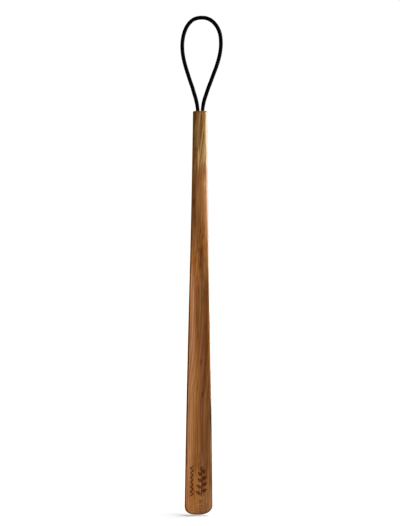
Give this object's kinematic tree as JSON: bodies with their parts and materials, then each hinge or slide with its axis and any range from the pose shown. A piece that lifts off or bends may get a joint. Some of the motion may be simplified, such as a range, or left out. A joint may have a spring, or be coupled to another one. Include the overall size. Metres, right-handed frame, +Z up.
{
  "type": "long shoehorn",
  "caption": "Long wooden shoehorn: a round handle that runs into a scooped blade with a rounded tip, and a hanging loop of black cord at the handle's end.",
  "frame": {"origin": "hanging point, at the inside of the loop's top, straight above the middle of the handle's end", "axes": "+Z up along the body from the blade's tip to the handle, the heel channel faces -Y, +X across the blade"},
  "size_m": [0.0586, 0.02, 0.6925],
  "materials": {
    "wood": "sanded smooth and oiled, satin",
    "cord": "fine braid with a slight sheen",
    "adhesive": "cured, dull"
  },
  "bodies": {
    "loop": {"cord_bow": "cord"},
    "shoehorn": {"wooden_body": "wood", "cord_tail_left": "cord", "cord_tail_right": "cord", "glue_left": "adhesive", "glue_right": "adhesive"}
  },
  "joints": [
    {"name": "loop_flex", "type": "hinge", "parent": "loop", "child": "shoehorn", "pos_m": [0, 0, -0.1075], "axis": [1, 0, 0], "range_deg": [-110, 110]}
  ]
}
